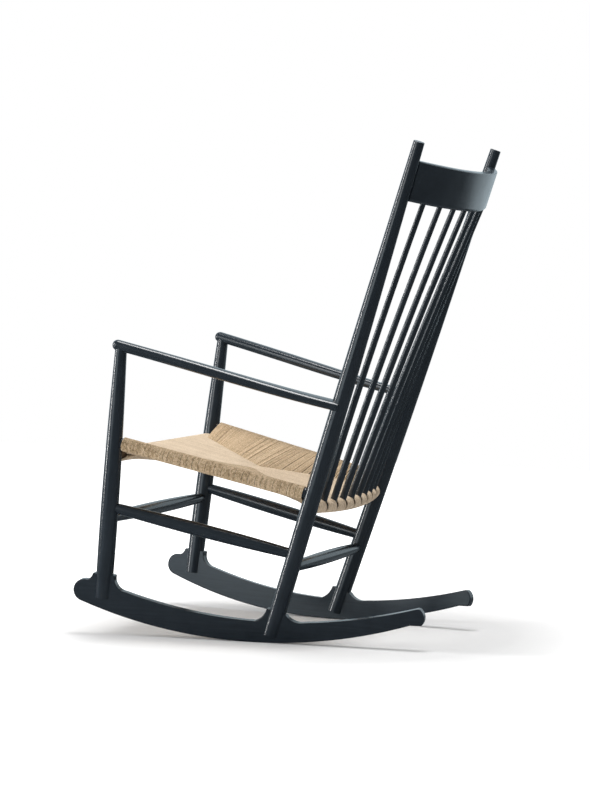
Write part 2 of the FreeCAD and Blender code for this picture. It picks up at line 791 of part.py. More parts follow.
class Chair:
    """The pieces as they are made. Pieces of the left side are kept by their plain names."""

    def __init__(self):
        self.front_grown = front_post_body(shoulder_clearance)
        self.rear_grown = rear_post_body(shoulder_clearance)
        front_slot = post_slot(front_axis, front_ear_height, front_post_foot_diameter)
        rear_slot = post_slot(rear_axis, rear_ear_height, rear_post_foot_diameter)
        self.left = {"rocker": make_rocker(),
                     "front_post": front_post_body().cut(front_slot),
                     "rear_post": rear_post_body(0.0, post_edge_round).cut(rear_slot)}
        self.middle = {}

    def cut_left(self, name, socket):
        self.left[name] = self.left[name].cut(socket)

    def add_stretchers(self):
        """The side stretchers, and one across at the front and one at the rear."""
        radius = front_post_foot_diameter / 2
        start = front_axis.at(side_stretcher_front_height)
        end = rear_axis.at(side_stretcher_rear_height)
        grown = [self.front_grown, self.rear_grown]
        self.left["side_stretcher"], sockets = make_stretcher(start, end, grown, radius)
        self.cut_left("rear_post", sockets[0])
        self.cut_left("front_post", sockets[1])
        for name, axis, height, post in (
                ("front", front_axis, front_stretcher_height, self.front_grown),
                ("rear", rear_axis, rear_stretcher_height, self.rear_grown)):
            left = axis.at(height)
            right = Vector(-left.x, left.y, left.z)
            stretcher, sockets = make_stretcher(left, right, [post, mirrored(post)], radius)
            self.middle[name + "_stretcher"] = stretcher
            self.cut_left(name + "_post", sockets[1])

    def add_side_rail(self):
        """The side seat rail, with a tenon into each post."""
        rail = coped(rails.side(), [self.front_grown, self.rear_grown])
        for near, far, post, diameter in (
                (rails.side_start, rails.side_end, "front_post", front_post_foot_diameter),
                (rails.side_end, rails.side_start, "rear_post", rear_post_seat_diameter)):
            shoulder = extended(far, near, -diameter / 2)
            tenon, socket = sunk_tenon(far, shoulder, rail_tenon_diameter, rail_tenon_length,
                                       diameter / 4)
            rail = rail.fuse(tenon)
            self.cut_left(post, socket)
        self.left["side_seat_rail"] = rail

    def add_front_rail(self):
        """The front seat rail, straight from post to post."""
        rail = coped(rails.front(), [self.front_grown, mirrored(self.front_grown)])
        radius = front_post_foot_diameter / 2
        shoulder = extended(rails.front_right, rails.front_left, -radius)
        tenon, socket = sunk_tenon(rails.front_right, shoulder, rail_tenon_diameter,
                                   rail_tenon_length, radius / 2)
        self.middle["front_seat_rail"] = rail.fuse(tenon).fuse(mirrored(tenon))
        self.cut_left("front_post", socket)

    def add_rear_rail(self):
        """The bowed rear seat rail, whose tenons run on along its bend."""
        rail = rear_rail_tube(rear_rail_diameter, rear_rail_half)
        rail = coped(rail, [self.rear_grown, mirrored(self.rear_grown)])
        radius = rear_post_seat_diameter / 2
        way = rear_rail_way()
        shoulder = rear_rail_point(rear_rail_half) - way * (radius - rear_rail_shoulder_depth)
        tenon, socket = sunk_tenon(shoulder - way, shoulder, rail_tenon_diameter,
                                   rail_tenon_length, radius / 2)
        self.middle["rear_seat_rail"] = rail.fuse(tenon).fuse(mirrored(tenon))
        self.cut_left("rear_post", socket)

    def add_arm(self):
        """The arm, which sits on the front post and runs into the rear one."""
        start = front_axis.at(arm_front_height)
        end = rear_axis.at(arm_rear_height)
        arm = coped(arm_body(), [self.rear_grown])
        radius = rear_post_arm_diameter / 2
        tenon, socket = sunk_tenon(start, extended(start, end, -radius), arm_tenon_diameter,
                                   arm_tenon_length, radius)
        arm = arm.fuse(tenon)
        self.cut_left("rear_post", socket)
        post = coped(self.left["front_post"], [arm_body(shoulder_clearance)])
        under_arm = front_axis.at(arm_front_height - arm_front_thickness / 2)
        tenon, socket = sunk_tenon(front_axis.at(front_post_neck_height), under_arm,
                                   post_tenon_diameter, post_tenon_length, post_tenon_length)
        self.left["front_post"] = post.fuse(tenon)
        self.left["armrest"] = arm.cut(socket)

    def add_back(self):
        """The crest rail, and the spindles between it and the rear seat rail."""
        crest, body, mortises = make_crest([self.rear_grown, mirrored(self.rear_grown)])
        self.cut_left("rear_post", mortises)
        rail_grown = rear_rail_tube(rear_rail_diameter + 2 * shoulder_clearance, rear_rail_half)
        seats = [rail_grown, body.translated(back_up * -shoulder_clearance)]
        rail = self.middle["rear_seat_rail"]
        for index in range(spindle_count):
            spindle, low_socket, high_socket = make_spindle(index, seats)
            self.middle["spindle_%d" % (index + 1)] = spindle
            rail = rail.cut(low_socket)
            crest = crest.cut(high_socket)
        self.middle["rear_seat_rail"] = rail
        self.middle["crest_rail"] = crest

    def pieces(self):
        """Every piece by name, with the right side as the mirror image of the left."""
        pieces = {}
        for name, shape in self.left.items():
            pieces[name + "_left"] = shape
            pieces[name + "_right"] = mirrored(shape)
        pieces.update(self.middle)
        return {name: largest(shape) for name, shape in pieces.items()}


def build():
    """Every piece of the chair, upright on its drawing and before it is set down."""
    chair = Chair()
    chair.add_stretchers()
    chair.add_side_rail()
    chair.add_front_rail()
    chair.add_rear_rail()
    chair.add_arm()
    chair.add_back()
    chair.middle["woven_seat"] = make_seat()
    return chair.pieces()


def set_down(pieces):
    """Rock the chair about the centre of its arc until its weight is over its place of contact."""
    weight = 0.0
    moment = Vector(0, 0, 0)
    for name, shape in pieces.items():
        share = shape.Volume * (cord_density if name == "woven_seat" else wood_density)
        weight += share
        moment += shape.CenterOfMass * share
    middle = moment / weight
    radius = rocker_radius * board.along.y ** 2 / board.up.z
    angle = math.degrees(math.atan(-middle.y / (radius - middle.z)))
    for shape in pieces.values():
        shape.rotate(Vector(0, 0, radius), Vector(1, 0, 0), angle)
    print("weight middle %s" % middle)
    print("arc centre height %.3f, rocked by %.4f degrees" % (radius, angle))


def main():
    pieces = build()
    set_down(pieces)
    boxes = [shape.optimalBoundingBox(True, False) for shape in pieces.values()]
    front = min(box.YMin for box in boxes)
    rear = max(box.YMax for box in boxes)
    floor = min(box.ZMin for box in boxes)
    shift = Vector(0, -(front + rear) / 2, -floor)
    os.makedirs("parts", exist_ok=True)
    for name, shape in pieces.items():
        shape.translate(shift)
        shape.exportStep("parts/%s.step" % name)
        print("%-22s solids %d valid %s volume %.0f"
              % (name, len(shape.Solids), shape.isValid(), shape.Volume))
    print("moved by", shift)


main()
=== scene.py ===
"""Looks for a lacquered rocking chair with a seat woven from paper cord.

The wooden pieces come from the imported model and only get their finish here. The woven seat is
built here, cord by cord, in the space of the plain seat solid.
"""

from __future__ import annotations

import logging
import math
import random
from dataclasses import dataclass, field
from enum import Enum
from typing import Iterable

import bmesh
import bpy
from mathutils import Matrix, Vector

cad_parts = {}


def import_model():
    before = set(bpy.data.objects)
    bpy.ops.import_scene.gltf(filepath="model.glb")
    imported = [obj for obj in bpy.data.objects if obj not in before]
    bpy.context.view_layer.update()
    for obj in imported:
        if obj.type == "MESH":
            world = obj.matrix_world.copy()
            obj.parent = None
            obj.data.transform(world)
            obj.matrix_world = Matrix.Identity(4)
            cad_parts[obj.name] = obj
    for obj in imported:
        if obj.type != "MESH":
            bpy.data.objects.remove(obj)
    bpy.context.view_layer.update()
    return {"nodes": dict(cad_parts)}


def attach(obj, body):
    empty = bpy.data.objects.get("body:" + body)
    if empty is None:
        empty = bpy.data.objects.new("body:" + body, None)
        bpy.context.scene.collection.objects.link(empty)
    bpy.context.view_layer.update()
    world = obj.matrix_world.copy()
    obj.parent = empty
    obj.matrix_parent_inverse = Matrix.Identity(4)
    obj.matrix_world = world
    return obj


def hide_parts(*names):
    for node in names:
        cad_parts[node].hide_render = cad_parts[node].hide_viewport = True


log = logging.getLogger("rocking_chair")

MM = 0.001
BODY = "root"
Colour = tuple[float, float, float]
Point = tuple[float, float]
Direction = tuple[float, float, float]


@dataclass(frozen=True)
class RestPose:
    """How the chair was set down: rocked about the centre of its arc, then moved over the origin.

    Lengths are in millimetres and the turn is in degrees.
    """

    turn: float = 1.2655
    centre_height: float = 1083.220
    shift_y: float = -9.395
    shift_z: float = -0.148

    def matrix(self) -> Matrix:
        """Work out the move from the drawing, in millimetres, to the row frame, in metres.

        Returns:
            The move as a matrix.
        """
        pivot = Vector((0.0, 0.0, self.centre_height))
        turn = Matrix.Rotation(math.radians(self.turn), 4, "X")
        rocked = Matrix.Translation(pivot) @ turn @ Matrix.Translation(-pivot)
        shift = Matrix.Translation((0.0, self.shift_y, self.shift_z))
        return Matrix.Scale(MM, 4) @ shift @ rocked


@dataclass(frozen=True)
class PostAxis:
    """The axis of a left post, by where it meets the floor and its slopes."""

    floor_x: float
    floor_y: float
    rake: float
    splay: float

    def at(self, height: float) -> Vector:
        """The point of the axis at a height."""
        return Vector((self.floor_x + height * math.tan(math.radians(self.splay)),
                       self.floor_y + height * math.tan(math.radians(self.rake)), height))


FRONT_AXIS = PostAxis(256.3, -372.0, 6.30, 3.88)
REAR_AXIS = PostAxis(209.5, 4.4, 18.65, 4.05)


class Side(Enum):
    """A side of the chair, as the sitter has it; the value is the sign of its offset."""

    LEFT = 1
    RIGHT = -1


def add_object(name: str, data: bpy.types.ID) -> bpy.types.Object:
    """Make an object of a mesh, curve, camera or lamp and put it in the scene.

    Args:
        name: The object's name.
        data: What it shows.

    Returns:
        The new object.
    """
    made = bpy.data.objects.new(name, data)
    bpy.context.scene.collection.objects.link(made)
    return made


# Materials


class NodeBoard:
    """A material's node tree, with short ways to add and join nodes."""

    def __init__(self, name: str) -> None:
        """Start an empty material with a surface shader.

        Args:
            name: The material's name.
        """
        self.material = bpy.data.materials.new(name)
        self.material.use_nodes = True
        self.tree = self.material.node_tree
        self.tree.nodes.clear()
        self.output = self.add("ShaderNodeOutputMaterial")

    def add(self, kind: str, **settings: object) -> bpy.types.Node:
        """Add a node and set its properties.

        Args:
            kind: The node's type name.
            settings: Properties to set on it.

        Returns:
            The new node.
        """
        node = self.tree.nodes.new(kind)
        for key, value in settings.items():
            setattr(node, key, value)
        return node

    def join(self, source: bpy.types.NodeSocket, target: bpy.types.NodeSocket) -> None:
        """Link two sockets."""
        self.tree.links.new(source, target)

    def math(self, operation: str, first: object, second: object = 0.0) -> bpy.types.NodeSocket:
        """Add a math node.

        Args:
            operation: The operation's name.
            first: A number or a socket.
            second: A number or a socket.

        Returns:
            The result socket.
        """
        node = self.add("ShaderNodeMath", operation=operation)
        for slot, value in zip(node.inputs, (first, second)):
            if isinstance(value, bpy.types.NodeSocket):
                self.join(value, slot)
            else:
                slot.default_value = value
        return node.outputs[0]

    def weighted(self, *parts: tuple[bpy.types.NodeSocket, float]) -> bpy.types.NodeSocket:
        """Add values, each times its weight.

        Args:
            parts: Sockets with their weights.

        Returns:
            The sum's socket.
        """
        products = [self.math("MULTIPLY", socket, weight) for socket, weight in parts]
        total = products[0]
        for product in products[1:]:
            total = self.math("ADD", total, product)
        return total

    def noise(self, vector: bpy.types.NodeSocket, scale: float, detail: float,
              roughness: float = 0.5) -> bpy.types.NodeSocket:
        """Add a noise texture.

        Args:
            vector: Where it is read.
            scale: How fine it is.
            detail: How many layers of finer noise it has.
            roughness: The weight of the finer layers.

        Returns:
            The value socket.
        """
        node = self.add("ShaderNodeTexNoise")
        node.inputs["Scale"].default_value = scale
        node.inputs["Detail"].default_value = detail
        node.inputs["Roughness"].default_value = roughness
        self.join(vector, node.inputs["Vector"])
        return node.outputs["Fac"]

    def ramp(self, value: bpy.types.NodeSocket,
             stops: Iterable[tuple[float, Colour]]) -> bpy.types.NodeSocket:
        """Turn a value into a colour.

        Args:
            value: The socket to read.
            stops: Places and linear colours.

        Returns:
            The colour socket.
        """
        node = self.add("ShaderNodeValToRGB")
        stops = list(stops)
        elements = node.color_ramp.elements
        while len(elements) < len(stops):
            elements.new(0.5)
        for element, (place, colour) in zip(elements, stops):
            element.position = place
            element.color = (*colour, 1.0)
        self.join(value, node.inputs["Fac"])
        return node.outputs["Color"]

    def range(self, value: bpy.types.NodeSocket, low: float, high: float, start: float = 0.0,
              end: float = 1.0) -> bpy.types.NodeSocket:
        """Map a value from one span to another.

        Args:
            value: The socket to read.
            low: What the start becomes.
            high: What the end becomes.
            start: Where the read span starts.
            end: Where it ends.

        Returns:
            The mapped value's socket.
        """
        node = self.add("ShaderNodeMapRange")
        for name, number in (("From Min", start), ("From Max", end), ("To Min", low), ("To Max", high)):
            node.inputs[name].default_value = number
        self.join(value, node.inputs["Value"])
        return node.outputs["Result"]

    def bump(self, height: bpy.types.NodeSocket, strength: float, distance: float) -> bpy.types.NodeSocket:
        """Add a bump.

        Args:
            height: The height socket.
            strength: How much of it shows.
            distance: The height of a full step, in metres.

        Returns:
            The normal socket.
        """
        node = self.add("ShaderNodeBump")
        node.inputs["Strength"].default_value = strength
        node.inputs["Distance"].default_value = distance
        self.join(height, node.inputs["Height"])
        return node.outputs["Normal"]


@dataclass(frozen=True)
class BlackLacquer:
    """Satin blue-black lacquer over wood whose pores and brushing still show a little.

    The grain direction is a vector in the row frame along which the piece was cut.
    """

    name: str
    grain: Direction
    dark: Colour = (0.0108, 0.0156, 0.0215)
    light: Colour = (0.0172, 0.0240, 0.0325)
    roughness: tuple[float, float] = (0.20, 0.27)
    squeeze: float = 0.035
    pore_scale: float = 1900.0
    growth_scale: float = 190.0
    cloud_scale: float = 22.0
    dust_scale: float = 420.0
    growth_share: float = 0.55
    tone_span: tuple[float, float] = (0.32, 0.68)
    coat: float = 0.18
    coat_roughness: float = 0.16
    relief: float = 0.11
    relief_depth: float = 0.00022
    relief_weights: tuple[float, float, float] = (0.5, 0.8, 0.12)

    def build(self) -> bpy.types.Material:
        """Build the material.

        Returns:
            The lacquer for pieces cut along this grain.
        """
        board = NodeBoard(self.name)
        place = board.add("ShaderNodeTexCoord").outputs["Object"]
        turn = Vector(self.grain).to_track_quat("Z", "Y").to_euler()
        mapping = board.add("ShaderNodeMapping", vector_type="TEXTURE")
        mapping.inputs["Rotation"].default_value = turn
        board.join(place, mapping.inputs["Vector"])
        along = board.add("ShaderNodeMapping")
        along.inputs["Scale"].default_value = (1.0, 1.0, self.squeeze)
        board.join(mapping.outputs["Vector"], along.inputs["Vector"])
        pores = board.noise(along.outputs["Vector"], self.pore_scale, 3.0, 0.6)
        growth = board.noise(along.outputs["Vector"], self.growth_scale, 4.0, 0.55)
        cloud = board.noise(place, self.cloud_scale, 3.0, 0.5)
        dust = board.noise(place, self.dust_scale, 2.0, 0.6)
        shader = board.add("ShaderNodeBsdfPrincipled")
        tone = board.weighted((growth, self.growth_share), (cloud, 1.0 - self.growth_share))
        colour = board.ramp(tone, [(self.tone_span[0], self.dark), (self.tone_span[1], self.light)])
        board.join(colour, shader.inputs["Base Color"])
        board.join(board.range(cloud, *self.roughness, 0.3, 0.7), shader.inputs["Roughness"])
        shader.inputs["Specular IOR Level"].default_value = 0.5
        shader.inputs["IOR"].default_value = 1.48
        shader.inputs["Coat Weight"].default_value = self.coat
        shader.inputs["Coat Roughness"].default_value = self.coat_roughness
        height = board.weighted(*zip((pores, growth, dust), self.relief_weights))
        board.join(board.bump(height, self.relief, self.relief_depth), shader.inputs["Normal"])
        board.join(shader.outputs["BSDF"], board.output.inputs["Surface"])
        return board.material


@dataclass(frozen=True)
class PaperCord:
    """Natural paper cord of three twisted strands, read from the cord's own map.

    The map's U runs along the cord in metres, and V once round it. The tone attribute is one number for
    each cord, and the wrap attribute is 1 where the cord bends round its rail, where darker and paler
    dashes of painted shade and highlight grow strong and the colour is a little paler. Painted shade
    darkens the twist's grooves, and the flecks are partly random tone, partly painted highlight on the
    twist.
    """

    name: str
    shadow: Colour
    body: Colour
    bright: Colour
    # groove is how dark the twist's grooves are painted, as painted shade; speckle weighs the flecks,
    # partly painted highlight.
    groove: float
    speckle: float
    lay: float = 0.0085
    strands: int = 3
    dashes: float = 160.0
    # Strength of the dashes off and on the wrap: painted shade and highlight on the strands.
    dash_shade_and_highlight: tuple[float, float] = (0.25, 1.05)
    tone_spread: float = 977.0
    shade_weights: tuple[float, float, float] = (0.34, 0.20, 0.16)
    shade_stops: tuple[float, float, float] = (0.12, 0.46, 0.78)
    fibre_scale: float = 900.0
    patch_scale: float = 34.0
    fleck_scale: float = 420.0
    relief: float = 0.55
    relief_depth: float = 0.00035

    def build(self) -> bpy.types.Material:
        """Build the material.

        Returns:
            The cord's material.
        """
        board = NodeBoard(self.name)
        uv = board.add("ShaderNodeUVMap", uv_map="cord_map").outputs["UV"]
        split = board.add("ShaderNodeSeparateXYZ")
        board.join(uv, split.inputs["Vector"])
        tone = board.add("ShaderNodeAttribute", attribute_name="cord_tone").outputs["Fac"]
        wrap = board.add("ShaderNodeAttribute", attribute_name="cord_wrap").outputs["Fac"]
        spot = board.add("ShaderNodeCombineXYZ")
        board.join(board.math("MULTIPLY", split.outputs["X"], self.dashes), spot.inputs["X"])
        board.join(board.math("MULTIPLY", tone, self.tone_spread), spot.inputs["Y"])
        # Dashes of painted shade and highlight along each cord, strongest where it wraps its rail, where
        # the colour is also a little paler.
        dash = board.math("SUBTRACT", board.noise(spot.outputs["Vector"], 1.0, 1.0), 0.5)
        dash = board.math("MULTIPLY", dash, board.range(wrap, *self.dash_shade_and_highlight))
        dash = board.math("ADD", dash, board.range(wrap, 0.0, 0.06))
        turns = board.math("ADD", board.math("DIVIDE", split.outputs["X"], self.lay), split.outputs["Y"])
        phase = board.math("MULTIPLY", turns, 2 * math.pi * self.strands)
        ridge = board.range(board.math("SINE", phase), 0.0, 1.0, -1.0, 1.0)
        groove = board.math("POWER", ridge, 0.45)
        place = board.add("ShaderNodeTexCoord").outputs["Object"]
        fibre = board.noise(place, self.fibre_scale, 3.0, 0.6)
        patch = board.noise(place, self.patch_scale, 3.0, 0.55)
        # The flecks are partly random tone, partly painted highlight on the twist.
        fleck = board.noise(place, self.fleck_scale, 2.0, 0.6)
        speck = board.range(fleck, 0.0, 1.0, 0.34, 0.66)
        parts = zip((tone, patch, fibre, speck), (*self.shade_weights, self.speckle))
        shade = board.math("ADD", board.weighted(*parts), dash)
        # The colour is darkened in the twist's grooves: painted shade.
        shade = board.math("MULTIPLY", shade, board.range(groove, self.groove, 1.10))
        shader = board.add("ShaderNodeBsdfPrincipled")
        colour = board.ramp(shade, zip(self.shade_stops, (self.shadow, self.body, self.bright)))
        board.join(colour, shader.inputs["Base Color"])
        board.join(board.range(fibre, 0.62, 0.80), shader.inputs["Roughness"])
        shader.inputs["Specular IOR Level"].default_value = 0.32
        shader.inputs["Sheen Weight"].default_value = 0.12
        height = board.math("ADD", groove, board.math("MULTIPLY", fibre, 0.3))
        board.join(board.bump(height, self.relief, self.relief_depth), shader.inputs["Normal"])
        board.join(shader.outputs["BSDF"], board.output.inputs["Surface"])
        return board.material


# Two copies of one paper cord, each painted with its own light: the front and rear fields get painted top
# light, paler with faint groove shade; the side fields get painted raking light, with a dark shadow colour
# and deep groove shade.
TOP_LIT_CORD = PaperCord("paper_cord_painted_top_light", shadow=(0.400, 0.290, 0.180), body=(0.640, 0.505, 0.360),
                        bright=(0.800, 0.670, 0.515), groove=0.80, speckle=0.22)
RAKING_LIT_CORD = PaperCord("paper_cord_painted_raking_light", shadow=(0.170, 0.108, 0.052), body=(0.575, 0.412, 0.242),
                      bright=(0.850, 0.680, 0.480), groove=0.45, speckle=0.34)


@dataclass(frozen=True)
class PaintedShadePadding:
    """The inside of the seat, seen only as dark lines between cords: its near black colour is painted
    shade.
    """

    name: str = "padding_painted_shade"
    dark: Colour = (0.060, 0.036, 0.017)
    light: Colour = (0.125, 0.078, 0.038)

    def build(self) -> bpy.types.Material:
        """Build the material.

        Returns:
            The padding's material.
        """
        board = NodeBoard(self.name)
        place = board.add("ShaderNodeTexCoord").outputs["Object"]
        rough = board.noise(place, 260.0, 4.0, 0.6)
        shader = board.add("ShaderNodeBsdfPrincipled")
        board.join(board.ramp(rough, [(0.3, self.dark), (0.7, self.light)]), shader.inputs["Base Color"])
        shader.inputs["Roughness"].default_value = 0.9
        board.join(board.bump(rough, 0.6, 0.0008), shader.inputs["Normal"])
        board.join(shader.outputs["BSDF"], board.output.inputs["Surface"])
        return board.material


# Seat


@dataclass
class SeatForm:
    """The rails under the seat and the surfaces that the cord takes up between them.

    Lengths are in millimetres, in the drawing of the chair, before it is set down.
    """

    cord: float = 3.2
    front_height: float = 24.0
    front_width: float = 22.0
    side_height: float = 24.0
    side_width: float = 21.0
    rear_diameter: float = 23.5
    rear_sagitta: float = 26.0
    mitre_thickness: float = 16.0
    seam_half: float = 22.0
    seam_y: float = -105.0
    front_turn: tuple[float, float] = (208.0, -304.0)
    rear_turn: tuple[float, float] = (209.0, 91.0)
    front: Vector = field(default_factory=lambda: FRONT_AXIS.at(400.8))
    side_start: Vector = field(default_factory=lambda: FRONT_AXIS.at(431.0))
    side_end: Vector = field(default_factory=lambda: REAR_AXIS.at(322.0))
    rear_end: Vector = field(default_factory=lambda: REAR_AXIS.at(298.3) - Vector((0.0, 7.5, 0.0)))

    def __post_init__(self) -> None:
        """Work out the bend of the rear rail and the lean of the side rails."""
        rake = math.radians(REAR_AXIS.rake)
        self.back_up = Vector((0.0, math.sin(rake), math.cos(rake)))
        self.back_out = Vector((0.0, math.cos(rake), -math.sin(rake)))
        half = self.rear_end.x
        self.bend = (half ** 2 + self.rear_sagitta ** 2) / (2 * self.rear_sagitta)
        way = self.side_end - self.side_start
        self.side_lean = -way.z / way.y

    def side_point(self, y: float) -> Vector:
        """Find the left side rail's axis.

        Args:
            y: Place along the seat.

        Returns:
            The point of the axis there.
        """
        start, end = self.side_start, self.side_end
        return start.lerp(end, (y - start.y) / (end.y - start.y))

    def rear_point(self, x: float) -> Vector:
        """The point of the bent rear rail's axis at x."""
        depth = self.rear_sagitta - self.bend + math.sqrt(self.bend ** 2 - x ** 2)
        return Vector((x, self.rear_end.y, self.rear_end.z)) + self.back_out * depth

    def upper(self, y: float) -> float:
        """Work out how high the front and rear fields lie.

        Args:
            y: Place along the seat.

        Returns:
            The height of their top.
        """
        high = self.front.z + self.front_height / 2 + self.cord
        rear = self.rear_point(0.0)
        low = rear.z + self.rear_diameter / 2 + self.cord
        return high + (low - high) * (y - self.front.y) / (rear.y - self.front.y)

    def under_mitre(self, y: float) -> float:
        """Height of the underside of the seat along its mitres at y."""
        return self.upper(y) - self.mitre_thickness

    def layers(self, x: float, y: float) -> tuple[float, float]:
        """Heights of the top and the underside of the seat.

        Args:
            x: Offset from the middle of the seat.
            y: Place along the seat.

        Returns:
            The top and the underside.
        """
        inner = self.mitre_x(y)
        if abs(x) > inner and y > self.front_turn[1]:
            rail = self.side_point(y)
            share = min(1.0, (abs(x) - inner) / max(1.0, rail.x - inner))
            crown = self.side_height / 2 + self.cord
            top = self.upper(y) + (rail.z + crown - self.upper(y)) * share
            return top, self.under_mitre(y) + (rail.z - crown - self.under_mitre(y)) * share
        rear = y > self.seam_y
        rail = self.rear_point(x) if rear else self.front
        foot = rail.z - (self.rear_diameter if rear else self.front_height) / 2 - self.cord
        meeting = self.mitre_y(x, rear)
        share = (y - rail.y) / ((meeting - rail.y) or 1.0)
        return self.upper(y), foot + (self.under_mitre(meeting) - foot) * clamp(share)

    def mitre_x(self, y: float) -> float:
        """Work out how wide the front or rear field is.

        Args:
            y: Place along the seat.

        Returns:
            Half its width.
        """
        half, turn = self.front_turn if y < self.seam_y else self.rear_turn
        share = min(1.0, (y - self.seam_y) / (turn - self.seam_y))
        return self.seam_half + (half - self.seam_half) * share

    def mitre_y(self, x: float, rear: bool) -> float:
        """Where the cords of the front or rear field end at x.

        Args:
            x: Offset from the middle of the seat.
            rear: Whether the cord belongs to the rear field.

        Returns:
            The place of the mitre, or of the middle seam.
        """
        half, turn = self.rear_turn if rear else self.front_turn
        share = (abs(x) - self.seam_half) / (half - self.seam_half)
        return self.seam_y + (turn - self.seam_y) * clamp(share)


@dataclass
class Section:
    """A rail cut across, with the cord's middle line round it, in a plane of the seat.

    reach is measured outwards from the rail's middle and rise upwards, both in millimetres.
    """

    half_reach: float
    half_rise: float
    lean: float = 0.0
    first_angle: float = 40.0
    angle_step: float = 1.3
    angle_count: int = 91

    def at(self, angle: float) -> Point:
        """Find the cord's middle line at one place round the rail.

        Args:
            angle: The angle above the outward direction.

        Returns:
            Its reach and rise.
        """
        reach = self.half_reach * math.cos(angle)
        rise = self.half_rise * math.sin(angle)
        return (reach * math.cos(self.lean) - rise * math.sin(self.lean),
                reach * math.sin(self.lean) + rise * math.cos(self.lean))

    def leave(self, reach: float, rise: float, upper: bool) -> float:
        """The angle at which a taut cord from a point inside meets the rail.

        Args:
            reach: The point's reach, negative towards the middle of the seat.
            rise: The point's rise.
            upper: Whether the cord passes over the rail or under it.

        Returns:
            The angle of the place where it meets the rail.
        """
        best = 0.0
        steepest = None
        for step in range(self.angle_count):
            angle = math.radians(self.first_angle + step * self.angle_step) * (1 if upper else -1)
            out, up = self.at(angle)
            slope = (up - rise) / max(1.0, out - reach)
            if not upper:
                slope = -slope
            if steepest is None or slope > steepest:
                steepest = slope
                best = angle
        return best


@dataclass
class CordSet:
    """The cords of one field, as points along each cord with a tone for the whole of it.

    round_rail says which points of a cord lie on the outer face of its rail.
    """

    name: str
    radius: float
    round_rail: range = range(10, 19)
    paths: list[list[Vector]] = field(default_factory=list)
    tones: list[float] = field(default_factory=list)

    def add(self, path: list[Vector], tone: float) -> None:
        """Add one cord."""
        self.paths.append(path)
        self.tones.append(tone)

    def mesh_object(self, move: Matrix, sides_level: int) -> bpy.types.Object:
        """Sweep every cord and map it.

        Args:
            move: From the drawing to the row frame.
            sides_level: Bevel level of the curve, which gives four sides and two more for each.

        Returns:
            The mesh object of the whole field.
        """
        curve = bpy.data.curves.new(self.name + "_lines", "CURVE")
        curve.dimensions = "3D"
        curve.bevel_depth = self.radius * MM
        curve.bevel_resolution = sides_level
        curve.use_fill_caps = True
        for path in self.paths:
            spline = curve.splines.new("POLY")
            spline.points.add(len(path) - 1)
            for point, place in zip(spline.points, path):
                point.co = (*(move @ place), 1.0)
        lines = add_object(self.name + "_lines", curve)
        bpy.context.view_layer.update()
        mesh = bpy.data.meshes.new_from_object(lines)
        mesh.name = self.name
        self.map_cords(mesh, 4 + 2 * sides_level)
        bpy.data.objects.remove(lines)
        bpy.data.curves.remove(curve)
        finish_mesh(mesh)
        return add_object(self.name, mesh)

    def map_cords(self, mesh: bpy.types.Mesh, sides: int) -> None:
        """Write each cord's length and turn into a map, and its tone into an attribute.

        Args:
            mesh: The swept cords: the caps of all cords first, then their rings in order.
            sides: Corners in a ring.
        """
        along: list[float] = []
        round_: list[float] = []
        tones: list[float] = []
        wraps: list[float] = []
        for path, tone in zip(self.paths, self.tones):
            length = sum((b - a).length for a, b in zip(path, path[1:])) * MM
            along += [length] * sides + [0.0] * sides
            round_ += [side / sides for side in range(sides)] * 2
            tones += [tone] * (2 * sides)
            wraps += [0.0] * (2 * sides)
        for path, tone in zip(self.paths, self.tones):
            length = 0.0
            for index, place in enumerate(path):
                if index:
                    length += (place - path[index - 1]).length * MM
                along += [length] * sides
                round_ += [side / sides for side in range(sides)]
                tones += [tone] * sides
                wraps += [1.0 if index in self.round_rail else 0.0] * sides
        if len(along) != len(mesh.vertices):
            raise RuntimeError("cord mesh has %d points, not %d" % (len(mesh.vertices), len(along)))
        while mesh.uv_layers:
            mesh.uv_layers.remove(mesh.uv_layers[0])
        layer = mesh.uv_layers.new(name="cord_map")
        for name, numbers in (("cord_tone", tones), ("cord_wrap", wraps)):
            mesh.attributes.new(name, "FLOAT", "POINT").data.foreach_set("value", numbers)
        values = [0.0] * (2 * len(mesh.loops))
        for polygon in mesh.polygons:
            turns = [round_[mesh.loops[index].vertex_index] for index in polygon.loop_indices]
            wraps = max(turns) - min(turns) > 0.5
            for index, turn in zip(polygon.loop_indices, turns):
                values[2 * index] = along[mesh.loops[index].vertex_index]
                values[2 * index + 1] = turn + 1.0 if wraps and turn < 0.5 else turn
        layer.data.foreach_set("uv", values)


def clamp(value: float) -> float:
    """The value, held between 0 and 1."""
    return min(1.0, max(0.0, value))


def between(first: Point, last: Point, share: float) -> Point:
    """The point at a share of the way from one point to another."""
    return (first[0] + (last[0] - first[0]) * share, first[1] + (last[1] - first[1]) * share)


def finish_mesh(mesh: bpy.types.Mesh, joined: float = 1e-6) -> None:
    """Close the seams of a mesh, turn its faces outwards and shade it smoothly.

    Args:
        mesh: The mesh to finish.
        joined: How close two corners are to become one, in metres.
    """
    shape = bmesh.new()
    shape.from_mesh(mesh)
    bmesh.ops.remove_doubles(shape, verts=shape.verts, dist=joined)
    bmesh.ops.recalc_face_normals(shape, faces=shape.faces)
    for face in shape.faces:
        face.smooth = True
    shape.to_mesh(mesh)
    shape.free()


